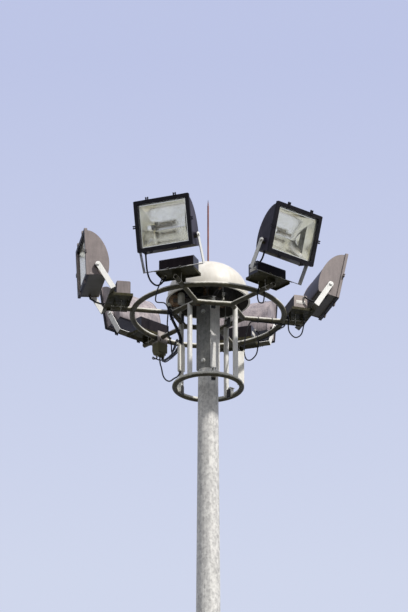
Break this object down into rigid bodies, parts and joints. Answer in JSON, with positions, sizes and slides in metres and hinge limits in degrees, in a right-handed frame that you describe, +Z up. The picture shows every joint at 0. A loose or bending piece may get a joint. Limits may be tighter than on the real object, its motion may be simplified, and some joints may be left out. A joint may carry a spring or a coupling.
{
  "type": "high mast floodlight tower",
  "caption": "Tall tapered steel mast on a bolted flange, with a lowering ring carriage of tilting floodlights under a domed cap and lightning rod.",
  "frame": {"origin": "middle of the base flange's underside, where it stands on its foundation", "axes": "+Z up along the mast; -Y is the side that the picture shows; +X to its right"},
  "size_m": [2.4986, 2.4742, 21.099],
  "materials": {
    "mast_steel": "hot-dip galvanised, mottled grey",
    "head_steel": "galvanised, dark and dirty in the cap's shade",
    "sheave_iron": "cast, orange-brown with rust",
    "cap_sheet": "painted off-white, weathered",
    "rod_copper": "red-brown, weathered",
    "rope_steel": "wire rope",
    "pipe_steel": "galvanised pipe, olive dirt underneath",
    "block_rubber": "black rubber",
    "gear_paint": "dark grey-brown paint, weathered",
    "yoke_steel": "bright galvanised flat bar",
    "box_grey": "light grey, dusty",
    "plug_grey": "grey-brown, olive dirt underneath",
    "cable_black": "black sheath",
    "housing_paint": "dark grey paint with pale dirt streaks",
    "reflector_sheet": "bright rolled sheet",
    "glass": "clear toughened glass, dusty",
    "frame_black": "black paint"
  },
  "bodies": {
    "mast": {"base_flange": "mast_steel", "mast_lower": "mast_steel", "door_frame": "mast_steel", "service_door": "mast_steel", "mast_upper": "mast_steel", "head_spigot": "mast_steel", "head_post": "mast_steel", "clamp_bolts": "yoke_steel", "head_frame": "head_steel", "rope_sheaves": "sheave_iron", "cable_wheel": "sheave_iron", "cable_hood": "box_grey", "dome_cap": "cap_sheet", "lightning_rod": "rod_copper", "winch": "head_steel", "hoist_ropes": "rope_steel", "suspension_ropes": "rope_steel", "supply_cable": "cable_black"},
    "carriage": {"outer_ring": "pipe_steel", "hex_ring": "pipe_steel", "spokes": "pipe_steel", "cage_posts": "pipe_steel", "lower_ring": "pipe_steel", "guide_brackets": "yoke_steel", "guide_blocks": "block_rubber", "gear_trays": "pipe_steel", "gear_boxes": "gear_paint", "yokes": "yoke_steel", "terminal_boxes": "box_grey", "connector_box": "plug_grey", "carriage_cables": "cable_black", "lamp_leads": "cable_black"},
    "floodlight_1": {"housing_1": "housing_paint", "reflector_1": "reflector_sheet", "glass_1": "glass", "front_frame_1": "frame_black"},
    "floodlight_2": {"housing_2": "housing_paint", "reflector_2": "reflector_sheet", "glass_2": "glass", "front_frame_2": "frame_black"},
    "floodlight_3": {"housing_3": "housing_paint", "reflector_3": "reflector_sheet", "glass_3": "glass", "front_frame_3": "frame_black"},
    "floodlight_4": {"housing_4": "housing_paint", "reflector_4": "reflector_sheet", "glass_4": "glass", "front_frame_4": "frame_black"},
    "floodlight_5": {"housing_5": "housing_paint", "reflector_5": "reflector_sheet", "glass_5": "glass", "front_frame_5": "frame_black"},
    "floodlight_6": {"housing_6": "housing_paint", "reflector_6": "reflector_sheet", "glass_6": "glass", "front_frame_6": "frame_black"}
  },
  "joints": [
    {"name": "carriage_lower", "type": "slide", "parent": "mast", "child": "carriage", "axis": [0, 0, -1], "range_m": [0, 17], "deforming": ["suspension_ropes", "supply_cable"]},
    {"name": "tilt_1", "type": "hinge", "parent": "carriage", "child": "floodlight_1", "pos_m": [-0.54752, -0.92607, 20.271], "axis": [0.8434, -0.5373, 0], "range_deg": [-43.5, 61.5], "deforming": ["lamp_leads"]},
    {"name": "tilt_2", "type": "hinge", "parent": "carriage", "child": "floodlight_2", "pos_m": [0.53412, -0.93404, 20.271], "axis": [0.8746, 0.4848, 0], "range_deg": [-47, 58], "deforming": ["lamp_leads"]},
    {"name": "tilt_3", "type": "hinge", "parent": "carriage", "child": "floodlight_3", "pos_m": [1.0746, 0.02668, 20.271], "axis": [-0.1045, 0.9945, 0], "range_deg": [-42, 63], "deforming": ["lamp_leads"]},
    {"name": "tilt_4", "type": "hinge", "parent": "carriage", "child": "floodlight_4", "pos_m": [0.538, 0.93184, 20.271], "axis": [-0.866, 0.5, 0], "range_deg": [-42, 63], "deforming": ["lamp_leads"]},
    {"name": "tilt_5", "type": "hinge", "parent": "carriage", "child": "floodlight_5", "pos_m": [-0.538, 0.93184, 20.271], "axis": [-0.866, -0.5, 0], "range_deg": [-42, 63], "deforming": ["lamp_leads"]},
    {"name": "tilt_6", "type": "hinge", "parent": "carriage", "child": "floodlight_6", "pos_m": [-1.07596, 0.00445, 20.271], "axis": [-0.0175, -0.9998, 0], "range_deg": [-33, 72], "deforming": ["lamp_leads"]}
  ]
}
